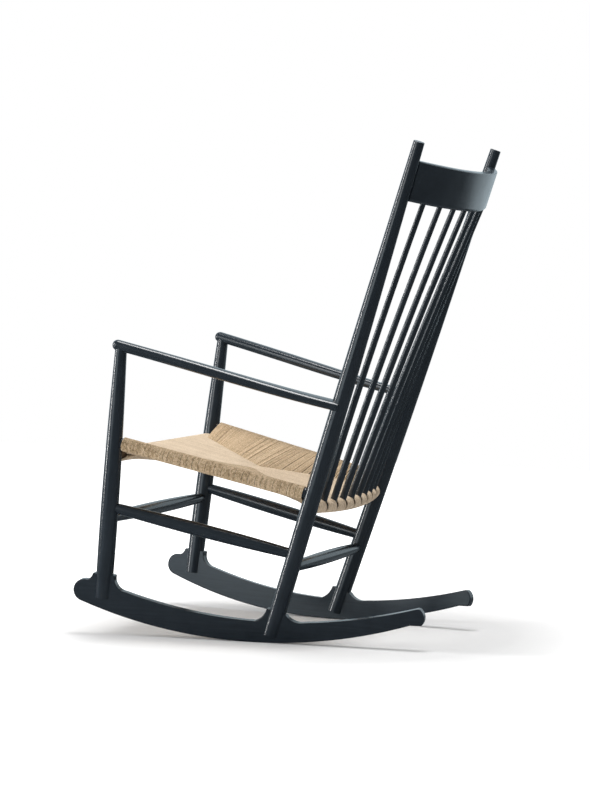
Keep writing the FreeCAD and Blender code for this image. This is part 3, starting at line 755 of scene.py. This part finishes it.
@dataclass
class WovenSeat:
    """A seat of paper cord wound over four rails, whose fields meet along mitres.

    Lengths are in millimetres. First come the cord's pitch and how it dives at a mitre, then its
    steps along rail and field, then the padding, and last the limits of the fields.
    """

    form: SeatForm = field(default_factory=SeatForm)
    pose: RestPose = field(default_factory=RestPose)
    pitch: float = 3.22
    dive: float = 6.0
    under_dive: float = 3.6
    tuck: tuple[float, float] = (1.5, 1.8)
    tuck_drop: float = 1.6
    run_steps: int = 6
    round_steps: int = 11
    return_steps: int = 4
    bevel_level: int = 2
    bead: float = 0.9
    front_stagger: float = 1.6
    stagger: float = 2.0
    least_reach: float = 3.0
    run_in: float = 30.0
    front_opening: float = 2.5
    side_opening: tuple[float, float] = (0.35, 0.9)
    uneven: float = 0.10
    line_reach: float = 3.0
    sink: float = 0.8
    side_spread: float = 0.16
    narrowing: float = 0.8
    edge_shade: float = 0.15
    beside_at: float = 2.0
    lift_from: float = 11.0
    blend_reach: float = 14.0
    pad_steps: int = 36
    pad_room: float = 0.3
    pad_inset: float = 2.0
    pad_least: float = 3.0
    spindle_spacing: float = 47.4
    spindle_count: int = 8
    spindle_half: float = 7.8
    wrap_gap: float = 9.5
    under_gap: float = 4.0
    front_limit: float = 262.5
    rear_limit: float = 209.0
    side_from: float = -303.0
    side_to: float = 91.8
    seed: int = 11

    def __post_init__(self) -> None:
        """Start the seeded source of the cord's unevenness."""
        self.chance = random.Random(self.seed)
        self.radius = self.form.cord / 2

    def places(self, low: float, high: float) -> list[float]:
        """Space cords evenly, one pitch apart or a little less."""
        count = math.ceil((high - low) / self.pitch)
        return [low + (high - low) * index / count for index in range(count + 1)]

    def gaps(self, places: list[float], spacing: float, width: float,
             spare: float = 0.0) -> list[tuple[float, float]]:
        """How the cords of a field lean aside and sink, to leave open lines between groups.

        Args:
            places: The places of the cords.
            spacing: The usual distance between open lines.
            width: The widest of them.
            spare: The share of the field, from its first cord, where lines stay nearly closed.

        Returns:
            A shift and a drop for each cord.
        """
        opened = []
        place = places[0] + spacing * self.chance.uniform(0.3, 0.9)
        while place < places[-1]:
            wide = self.chance.uniform(0.45, 1.0) * width
            if place < places[0] + (places[-1] - places[0]) * spare:
                wide *= self.chance.uniform(0.15, 0.6)
            opened.append((place, wide))
            place += spacing * self.chance.uniform(0.75, 1.35)
        moves = []
        for place in places:
            shift = self.chance.uniform(-self.uneven, self.uneven)
            drop = 0.0
            for centre, wide in opened:
                offset = (place - centre) / self.pitch
                if abs(offset) < self.line_reach:
                    shift += math.copysign(wide / 2 * (1 - abs(offset) / self.line_reach), offset)
                if 0.0 <= offset < 1.0:
                    drop = wide * self.sink
            moves.append((shift, drop))
        return moves

    def loop(self, section: Section, start: Point, end: Point, bulge: float) -> list[Point]:
        """The line of one cord in its own plane: out over the rail, round it and back under.

        Args:
            section: The rail's section.
            start: Reach and rise where the upper layer meets the mitre.
            end: The same for the lower layer.
            bulge: How far this cord stands off the rail.

        Returns:
            Reach and rise of the cord's middle line, from the upper end to the lower one.
        """
        over = section.leave(*start, True)
        under = section.leave(*end, False)
        near, far = self.tuck
        points = [(start[0] - far, start[1] - self.dive), (start[0] - near, start[1] - self.tuck_drop)]
        first = section.at(over)
        for step in range(self.run_steps):
            points.append(between(start, first, step / self.run_steps))
        for step in range(self.round_steps + 1):
            angle = over + (under - over) * step / self.round_steps
            reach, rise = section.at(angle)
            swell = bulge * math.sin(math.pi * step / self.round_steps)
            points.append((reach + swell * math.cos(angle), rise + swell * math.sin(angle)))
        last = section.at(under)
        for step in range(1, self.return_steps + 1):
            points.append(between(last, end, step / self.return_steps))
        points.append((end[0] - near, end[1] + self.tuck_drop))
        points.append((end[0] - far, end[1] + self.under_dive))
        return points

    def tone(self, spread: float = 0.13) -> float:
        """A tone for a cord, mostly near the middle."""
        return clamp(self.chance.gauss(0.5, spread))

    def front_field(self) -> CordSet:
        """Wind the cords that run from the front rail to the mitres.

        Returns:
            The cords of the front field.
        """
        form = self.form
        cords = CordSet("cord_front_field", self.radius)
        section = Section(form.front_width / 2 + self.radius, form.front_height / 2 + self.radius)
        places = self.places(-self.front_limit, self.front_limit)
        for index, (x, (aside, _)) in enumerate(zip(places, self.gaps(places, 56.0, 0.8))):
            y = form.mitre_y(x, False) + (self.front_stagger if index % 2 else -self.front_stagger)
            top = form.upper(y) - self.radius - form.front.z
            low = form.under_mitre(y) + self.radius - form.front.z
            reach = min(-(y - form.front.y), -section.half_reach - self.least_reach)
            line = self.loop(section, (reach, top), (reach, low), self.chance.uniform(-0.1, 0.25))
            path = []
            for out, up in line:
                share = clamp(-out / max(self.run_in, -reach))
                across = x + aside * min(1.0, share * self.front_opening)
                path.append(Vector((across, form.front.y - out, form.front.z + up)))
            cords.add(path, self.tone())
        return cords

    def side_field(self, side: Side) -> CordSet:
        """Wind the cords that run from a side rail to the mitres.

        Args:
            side: The side of the chair.

        Returns:
            The cords of that side.
        """
        form = self.form
        cords = CordSet("cord_%s_field" % side.name.lower(), self.radius)
        section = Section(form.side_width / 2 + self.radius, form.side_height / 2 + self.radius)
        places = self.places(self.side_from, self.side_to)
        for index, (y, (aside, drop)) in enumerate(zip(places, self.gaps(places, 14.0, 2.4, 0.3))):
            rail = form.side_point(y)
            x = form.mitre_x(y) + (self.stagger if index % 2 else -self.stagger)
            top = form.upper(y) - self.radius - rail.z + (self.bead if index % 2 else 0.0)
            low = form.under_mitre(y) + self.radius - rail.z
            reach = min(x - rail.x, -section.half_reach - self.least_reach)
            line = self.loop(section, (reach, top), (reach, low), self.chance.uniform(-0.15, 0.45))
            path = []
            for out, up in line:
                share = clamp(-out / max(self.run_in, -reach))
                lean = form.side_lean * up * (1 - share)
                sunk = drop * share if up > 0 else 0.0
                opening = min(1.0, self.side_opening[0] + share * self.side_opening[1])
                place = (side.value * (rail.x + out), y + lean + aside * opening, rail.z + up - sunk)
                path.append(Vector(place))
            cords.add(path, self.tone(self.side_spread))
        return cords

    def bays(self) -> list[tuple[float, float]]:
        """Divide the rear rail between posts and spindles.

        Returns:
            Both ends of each stretch.
        """
        first = -(self.spindle_count - 1) / 2
        middles = [(index + first) * self.spindle_spacing for index in range(self.spindle_count)]
        edges = [-self.rear_limit - self.wrap_gap / 2] + middles + [self.rear_limit + self.wrap_gap / 2]
        return list(zip(edges, edges[1:]))

    def rear_field(self) -> CordSet:
        """Wind the cords that run from the mitres to the rear rail, between the spindles.

        Returns:
            The cords of the rear field.
        """
        form = self.form
        cords = CordSet("cord_rear_field", self.radius)
        section = Section(form.rear_diameter / 2 + self.radius, form.rear_diameter / 2 + self.radius,
                          -math.radians(REAR_AXIS.rake))
        for low_edge, high_edge in self.bays():
            middle = (low_edge + high_edge) / 2
            half = (high_edge - low_edge) / 2
            snug = half - self.wrap_gap / 2 - self.radius
            under = half - self.under_gap / 2 - self.radius
            tight = half - self.spindle_half - self.radius
            count = max(2, round((2 * half - self.wrap_gap) / self.pitch) - 1)
            for index in range(count + 1):
                share = 2 * index / count - 1
                aside = self.chance.uniform(-0.15, 0.15)
                spread = middle + share * (half - self.radius)
                rail = form.rear_point(spread)
                y = form.mitre_y(spread, True) + (self.stagger if index % 2 else -self.stagger)
                top = form.upper(y) - self.radius - rail.z + (0.0 if index % 2 else self.bead)
                low = form.under_mitre(y) + self.radius - rail.z
                reach = min(y - rail.y, -section.half_reach - self.least_reach)
                line = self.loop(section, (reach, top), (reach, low), self.chance.uniform(-0.1, 0.3))
                path = []
                for out, up in line:
                    path.append(self.rear_place(middle, share, (half, snug, tight, under), out, up, aside))
                cords.add(path, self.tone() - (self.edge_shade if index in (0, count) else 0.0))
        return cords

    def rear_place(self, middle: float, share: float, halves: tuple[float, float, float, float],
                   out: float, up: float, aside: float) -> Vector:
        """A point of a rear cord, crowded beside the spindles and closed up again behind them.

        Args:
            middle: Middle of the bay.
            share: The cord's place in the bay, from -1 to 1.
            halves: Half widths of the cords in the field, behind the rail, beside the spindles and
                under the rail.
            out: Reach beyond the rail's middle.
            up: Rise above it.
            aside: This cord's own shift.

        Returns:
            The point in the drawing.
        """
        half, snug, tight, under = halves
        field_x = middle + share * (half - self.radius) + aside
        lifted = clamp((up + self.lift_from) / self.blend_reach)
        behind_x = middle + share * (under + (snug - under) * lifted) + aside * 0.4
        beside_x = middle + share * tight
        weight = clamp(out / self.blend_reach + 1)
        if up > 0:
            near = max(0.0, 1 - abs(out + self.beside_at) / self.lift_from)
            near = near * near * (3 - 2 * near)
            base = field_x if out < -self.beside_at else behind_x
            x = base + (beside_x - base) * near
        else:
            x = field_x + (behind_x - field_x) * weight
        rail = self.form.rear_point(x)
        rail_at = self.form.rear_point(middle + share * (half - self.radius))
        y = (rail.y * weight + rail_at.y * (1 - weight)) + out
        z = (rail.z * weight + rail_at.z * (1 - weight)) + up
        return Vector((x, y, z))

    def padding(self) -> bpy.types.Object:
        """Make the inside of the seat: a closed pad a little under both layers of cord.

        Returns:
            The pad's object.
        """
        form = self.form
        shape = bmesh.new()
        bmesh.ops.create_grid(shape, x_segments=self.pad_steps, y_segments=self.pad_steps, size=1.0)
        top = list(shape.verts)
        bmesh.ops.solidify(shape, geom=shape.faces[:] + shape.edges[:] + shape.verts[:], thickness=0.1)
        upper = set(top)
        move = self.pose.matrix()
        for vertex in shape.verts:
            across = (form.side_start.x + form.side_end.x) / 2 * vertex.co.x
            back = form.rear_point(across * self.narrowing).y - self.pad_inset
            y = form.front.y + (back - form.front.y) * (vertex.co.y + 1) / 2
            x = vertex.co.x * (form.side_point(y).x - self.pad_inset)
            top_skin, under_skin = form.layers(x, y)
            high = top_skin - form.cord - self.pad_room
            low = under_skin + form.cord + self.pad_room
            if high - low < self.pad_least:
                middle = (high + low) / 2
                high, low = middle + self.pad_least / 2, middle - self.pad_least / 2
            vertex.co = Vector((x, y, high if vertex in upper else low))
        bmesh.ops.transform(shape, matrix=move, verts=shape.verts)
        bmesh.ops.recalc_face_normals(shape, faces=shape.faces)
        mesh = bpy.data.meshes.new("seat_padding")
        shape.to_mesh(mesh)
        shape.free()
        return add_object("seat_padding", mesh)

    def build(self, smooth: bpy.types.Material, raking_lit_cord: bpy.types.Material,
              padding: bpy.types.Material) -> list[bpy.types.Object]:
        """Build the whole seat in place of the plain solid.

        Args:
            smooth: The cord's copy in the front and rear fields, painted with top light: paler, with faint
                groove shade.
            raking_lit_cord: The cord's copy in the side fields, painted with raking light: a dark shadow
                colour and deep groove shade.
            padding: The padding's material, near black with painted shade.

        Returns:
            The pieces of the seat.
        """
        move = self.pose.matrix()
        pieces = []
        fields = [(self.front_field(), smooth), (self.rear_field(), smooth)]
        fields += [(self.side_field(side), raking_lit_cord) for side in Side]
        for cords, finish in fields:
            piece = cords.mesh_object(move, self.bevel_level)
            piece.data.materials.clear()
            piece.data.materials.append(finish)
            pieces.append(piece)
            log.info("%s: %d cords, %d faces", piece.name, len(cords.paths), len(piece.data.polygons))
        pad = self.padding()
        pad.data.materials.append(padding)
        pieces.append(pad)
        for piece in pieces:
            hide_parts("woven_seat")
            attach(piece, BODY)
        return pieces


# Wooden pieces


@dataclass
class WoodenFrame:
    """The lacquered pieces, each with its grain along its own length."""

    across: Direction = (1.0, 0.0, 0.0)
    spindle_grain: Direction = (0.0, 0.40, 1.0)
    left_grains: dict[str, Direction] = field(default_factory=lambda: {
        "front_post": (0.068, 0.139, 1.0),
        "rear_post": (0.071, 0.367, 1.0),
        "rocker": (-0.09, 1.0, -0.02),
        "armrest": (-0.12, 1.0, -0.22),
        "side_stretcher": (-0.12, 1.0, -0.2),
        "side_seat_rail": (-0.12, 1.0, -0.22)})

    def grain(self, name: str) -> Direction:
        """Find the way in which a piece's grain runs.

        Args:
            name: The piece's name.

        Returns:
            The direction of its grain; the right pieces mirror the left ones.
        """
        if name.startswith("spindle"):
            return self.spindle_grain
        kind, _, side = name.rpartition("_")
        if kind not in self.left_grains:
            return self.across
        x, y, z = self.left_grains[kind]
        return (x * Side[side.upper()].value, y, z)

    def dress(self, nodes: dict[str, bpy.types.Object]) -> None:
        """Give every wooden piece its lacquer.

        Args:
            nodes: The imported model's pieces by name.
        """
        made: dict[Direction, bpy.types.Material] = {}
        for name, piece in nodes.items():
            if name == "woven_seat":
                continue
            grain = self.grain(name)
            if grain not in made:
                made[grain] = BlackLacquer("black_lacquer_%d" % len(made), grain).build()
            for slot in piece.material_slots:
                slot.material = made[grain]
            log.info("%s: lacquered", name)


# Stage


@dataclass(frozen=True)
class PhotoView:
    """The photograph's camera, in the drawing of the chair.

    Lengths are in millimetres, angles in degrees and places in the picture in pixels.
    """

    eye: tuple[float, float, float] = (6036.35, 2189.03, 852.74)
    yaw: float = 20.0456
    pitch: float = 2.944
    focal: float = 2900.39
    middle: tuple[float, float] = (294.618, 395.620)
    picture: tuple[float, float] = (590.0, 787.0)
    sensor: float = 36.0

    def build(self, pose: RestPose) -> bpy.types.Object:
        """Create the camera and make it the scene's own.

        Args:
            pose: How the chair was set down.

        Returns:
            The camera object.
        """
        yaw = math.radians(self.yaw)
        pitch = math.radians(self.pitch)
        level = math.cos(pitch)
        ahead = Vector((-math.cos(yaw) * level, -math.sin(yaw) * level, -math.sin(pitch)))
        right = ahead.cross(Vector((0.0, 0.0, 1.0))).normalized()
        upward = right.cross(ahead)
        turn = pose.matrix().to_3x3().normalized()
        axes = Matrix((turn @ right, turn @ upward, turn @ -ahead)).transposed().to_4x4()
        width, height = self.picture
        data = bpy.data.cameras.new("photo_view")
        data.sensor_width = self.sensor
        data.lens = self.focal * self.sensor / height
        data.shift_x = (width / 2 - self.middle[0]) / height
        data.shift_y = (self.middle[1] - height / 2) / height
        data.clip_end = 100.0
        camera = add_object("photo_view", data)
        camera.matrix_world = Matrix.Translation(pose.matrix() @ Vector(self.eye)) @ axes
        bpy.context.scene.camera = camera
        return camera


@dataclass(frozen=True)
class SoftBox:
    """A rectangular studio lamp that faces a point of the chair."""

    name: str
    place: tuple[float, float, float]
    aim: tuple[float, float, float]
    size: tuple[float, float]
    power: float
    colour: Colour = (1.0, 1.0, 1.0)

    def build(self) -> bpy.types.Object:
        """Create the lamp.

        Returns:
            The lamp object.
        """
        data = bpy.data.lights.new(self.name, "AREA")
        data.shape = "RECTANGLE"
        data.size, data.size_y = self.size
        data.energy = self.power
        data.color = self.colour
        lamp = add_object(self.name, data)
        way = Vector(self.aim) - Vector(self.place)
        lamp.rotation_euler = way.to_track_quat("-Z", "Y").to_euler()
        lamp.location = self.place
        return lamp


@dataclass(frozen=True)
class WhiteSurround:
    """White for the camera, plain grey for light, and brighter behind the chair in reflections.

    mirrored holds the strength that reflections see ahead of the chair and behind it, and turn
    says where along X one becomes the other.
    """

    ambient: float = 0.29
    mirrored: tuple[float, float] = (0.25, 0.85)
    tint: Colour = (0.77, 0.92, 1.0)
    turn: tuple[float, float] = (0.15, -0.85)

    def build(self) -> None:
        """Create the world and make it the scene's own."""
        world = bpy.data.worlds.new("white_surround")
        world.use_nodes = True
        tree = world.node_tree
        tree.nodes.clear()
        output = tree.nodes.new("ShaderNodeOutputWorld")
        path = tree.nodes.new("ShaderNodeLightPath")
        place = tree.nodes.new("ShaderNodeTexCoord")
        split = tree.nodes.new("ShaderNodeSeparateXYZ")
        tree.links.new(place.outputs["Generated"], split.inputs["Vector"])
        share = tree.nodes.new("ShaderNodeMapRange")
        share.interpolation_type = "SMOOTHSTEP"
        share.inputs["From Min"].default_value = self.turn[0]
        share.inputs["From Max"].default_value = self.turn[1]
        share.inputs["To Min"].default_value = self.mirrored[0]
        share.inputs["To Max"].default_value = self.mirrored[1]
        tree.links.new(split.outputs["X"], share.inputs["Value"])
        soft = tree.nodes.new("ShaderNodeBackground")
        soft.inputs["Color"].default_value = (1.0, 1.0, 1.0, 1.0)
        soft.inputs["Strength"].default_value = self.ambient
        seen = tree.nodes.new("ShaderNodeBackground")
        seen.inputs["Strength"].default_value = 1.0
        shiny = tree.nodes.new("ShaderNodeBackground")
        tree.links.new(share.outputs["Result"], shiny.inputs["Strength"])
        seen.inputs["Color"].default_value = (1.0, 1.0, 1.0, 1.0)
        shiny.inputs["Color"].default_value = (*self.tint, 1.0)
        first = tree.nodes.new("ShaderNodeMixShader")
        second = tree.nodes.new("ShaderNodeMixShader")
        clear = tree.nodes.new("ShaderNodeMath")
        clear.operation = "MAXIMUM"
        tree.links.new(path.outputs["Is Camera Ray"], clear.inputs[0])
        tree.links.new(path.outputs["Is Transmission Ray"], clear.inputs[1])
        tree.links.new(path.outputs["Is Glossy Ray"], first.inputs["Fac"])
        tree.links.new(soft.outputs[0], first.inputs[1])
        tree.links.new(shiny.outputs[0], first.inputs[2])
        tree.links.new(clear.outputs[0], second.inputs["Fac"])
        tree.links.new(first.outputs[0], second.inputs[1])
        tree.links.new(seen.outputs[0], second.inputs[2])
        tree.links.new(second.outputs[0], output.inputs["Surface"])
        bpy.context.scene.world = world


@dataclass(frozen=True)
class PaleFloor:
    """The floor's finish: white to the camera except in shadow, and darker in reflections.

    It glows a little, and fully beyond the reach, so that it runs into the white surround.
    """

    colour: Colour = (0.88, 0.88, 0.88)
    mirrored: Colour = (0.17, 0.20, 0.22)
    glow: float = 0.08
    reach: tuple[float, float] = (0.48, 1.25)

    def build(self) -> bpy.types.Material:
        """Build the material.

        Returns:
            The floor's material.
        """
        board = NodeBoard("pale_floor")
        matt = board.add("ShaderNodeBsdfDiffuse")
        matt.inputs["Color"].default_value = (*self.colour, 1.0)
        dim = board.add("ShaderNodeBsdfDiffuse")
        dim.inputs["Color"].default_value = (*self.mirrored, 1.0)
        place = board.add("ShaderNodeTexCoord").outputs["Object"]
        away = board.add("ShaderNodeVectorMath", operation="LENGTH")
        board.join(place, away.inputs[0])
        fade = board.range(away.outputs["Value"], self.glow, 1.0, *self.reach)
        glow = board.add("ShaderNodeEmission")
        board.join(fade, glow.inputs["Strength"])
        path = board.add("ShaderNodeLightPath")
        seen = board.math("MAXIMUM", path.outputs["Is Camera Ray"], path.outputs["Is Transmission Ray"])
        both = board.add("ShaderNodeAddShader")
        lit = board.add("ShaderNodeMixShader")
        choose = board.add("ShaderNodeMixShader")
        board.join(matt.outputs[0], both.inputs[0])
        board.join(glow.outputs[0], both.inputs[1])
        board.join(path.outputs["Is Glossy Ray"], lit.inputs["Fac"])
        board.join(matt.outputs[0], lit.inputs[1])
        board.join(dim.outputs[0], lit.inputs[2])
        board.join(seen, choose.inputs["Fac"])
        board.join(lit.outputs[0], choose.inputs[1])
        board.join(both.outputs[0], choose.inputs[2])
        board.join(choose.outputs[0], board.output.inputs["Surface"])
        return board.material


@dataclass
class Studio:
    """A plain pale floor, a white surround and soft lamps."""

    floor_size: float = 9.0
    surround: WhiteSurround = field(default_factory=WhiteSurround)
    finish: PaleFloor = field(default_factory=PaleFloor)
    lamps: tuple[SoftBox, ...] = (
        SoftBox("overhead_box", (-0.1, 0.05, 3.0), (0.0, 0.0, 0.2), (1.3, 1.3), 66.0),
        SoftBox("front_strip", (0.9, -3.0, 1.2), (0.0, 0.0, 0.6), (0.32, 2.4), 60.0),
        SoftBox("side_box", (3.6, -2.0, 1.6), (0.0, 0.0, 0.5), (1.2, 1.2), 26.0),
        SoftBox("low_panel", (2.6, -1.75, 0.45), (0.0, 0.0, 0.15), (1.4, 0.9), 8.0, (0.82, 0.94, 1.0)))

    def floor(self) -> bpy.types.Object:
        """Make the floor.

        Returns:
            The floor's object.
        """
        shape = bmesh.new()
        bmesh.ops.create_grid(shape, x_segments=1, y_segments=1, size=self.floor_size / 2)
        mesh = bpy.data.meshes.new("studio_floor")
        shape.to_mesh(mesh)
        shape.free()
        floor = add_object("studio_floor", mesh)
        mesh.materials.append(self.finish.build())
        return floor

    def build(self) -> None:
        """Set up the surround, the floor and the lamps."""
        self.surround.build()
        self.floor()
        for lamp in self.lamps:
            lamp.build()
            log.info("%s: lit", lamp.name)
        bpy.context.scene.view_settings.view_transform = "Standard"


def main() -> None:
    """Build every part of the scene in order."""
    logging.basicConfig(level=logging.INFO, format="%(message)s")
    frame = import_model()
    WoodenFrame().dress(frame["nodes"])
    WovenSeat().build(TOP_LIT_CORD.build(), RAKING_LIT_CORD.build(), PaintedShadePadding().build())
    Studio().build()
    PhotoView().build(RestPose())


if __name__ == "__main__":
    main()
